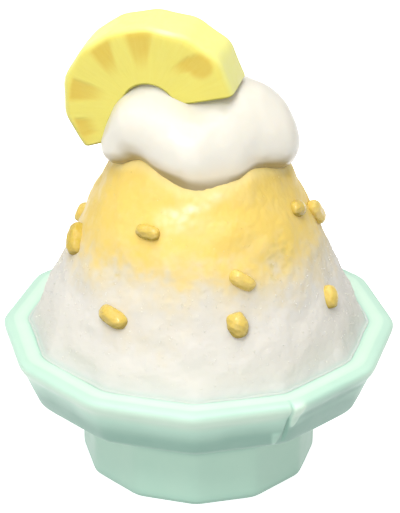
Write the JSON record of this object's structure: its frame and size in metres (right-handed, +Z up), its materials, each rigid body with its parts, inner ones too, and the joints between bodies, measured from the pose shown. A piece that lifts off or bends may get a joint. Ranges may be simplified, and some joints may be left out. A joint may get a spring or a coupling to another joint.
{
  "type": "shaved ice dessert",
  "caption": "Heap of shaved ice with yellow syrup in a faceted footed bowl, topped with soft cream, a half pineapple ring and golden fruit bits.",
  "frame": {"origin": "on the table, under the middle of the bowl's foot", "axes": "+Z up; -Y is the front, where the pineapple ring's cut face looks; +X is to the right"},
  "size_m": [0.16, 0.16, 0.1936],
  "materials": {
    "celadon_glaze": "soft glossy pale green glaze",
    "shaved_ice": "fine wet snow, white with yellow syrup soaked in from the top",
    "cream": "smooth, satin to glossy, off-white",
    "pineapple": "moist fruit flesh, pale yellow with golden wedges",
    "fruit_bit": "glossy golden yellow"
  },
  "bodies": {
    "root": {"bowl": "celadon_glaze", "shaved_ice": "shaved_ice", "cream_topping": "cream", "pineapple_ring": "pineapple", "fruit_bit_01": "fruit_bit", "fruit_bit_02": "fruit_bit", "fruit_bit_03": "fruit_bit", "fruit_bit_04": "fruit_bit", "fruit_bit_05": "fruit_bit", "fruit_bit_06": "fruit_bit", "fruit_bit_07": "fruit_bit", "fruit_bit_08": "fruit_bit", "fruit_bit_09": "fruit_bit", "fruit_bit_10": "fruit_bit", "fruit_bit_11": "fruit_bit", "fruit_bit_12": "fruit_bit", "fruit_bit_13": "fruit_bit", "fruit_bit_14": "fruit_bit", "fruit_bit_15": "fruit_bit"}
  },
  "joints": []
}
